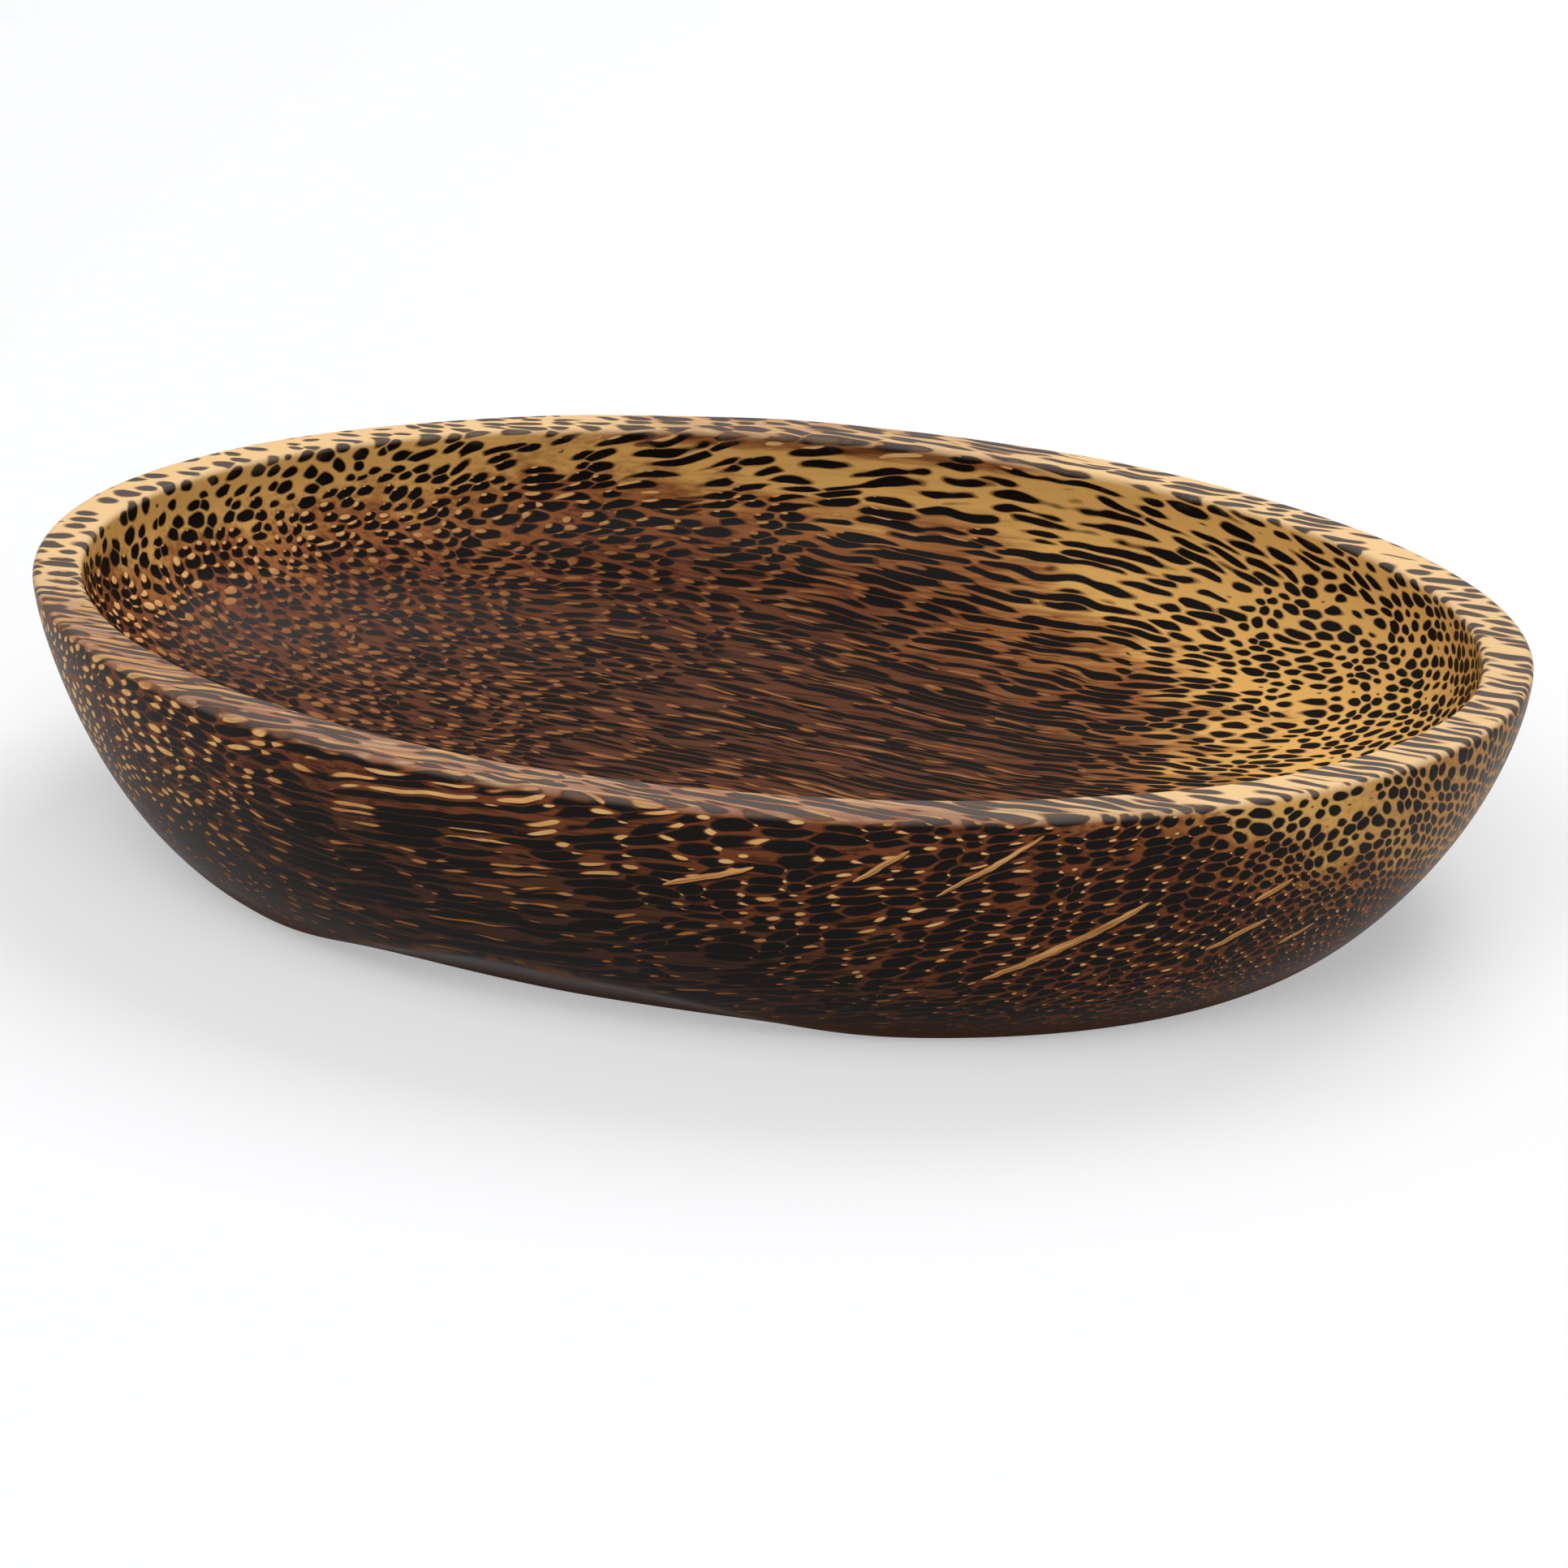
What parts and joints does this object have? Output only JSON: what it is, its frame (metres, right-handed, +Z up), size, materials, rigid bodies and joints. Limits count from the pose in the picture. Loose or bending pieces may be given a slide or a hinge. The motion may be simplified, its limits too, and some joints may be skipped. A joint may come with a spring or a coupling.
{
  "type": "wooden bowl",
  "caption": "Shallow oval bowl carved from one block of palm wood, with a flat rim, a dished hollow and a flat foot.",
  "frame": {"origin": "on the table, under the middle of the foot", "axes": "+X along the bowl's length and its grain, +Y across it, +Z up through the open mouth"},
  "size_m": [0.14, 0.094, 0.0245],
  "materials": {
    "palm_wood": "oiled, satin, dark fibres in a brown ground"
  },
  "bodies": {
    "root": {"carved_bowl": "palm_wood"}
  },
  "joints": []
}
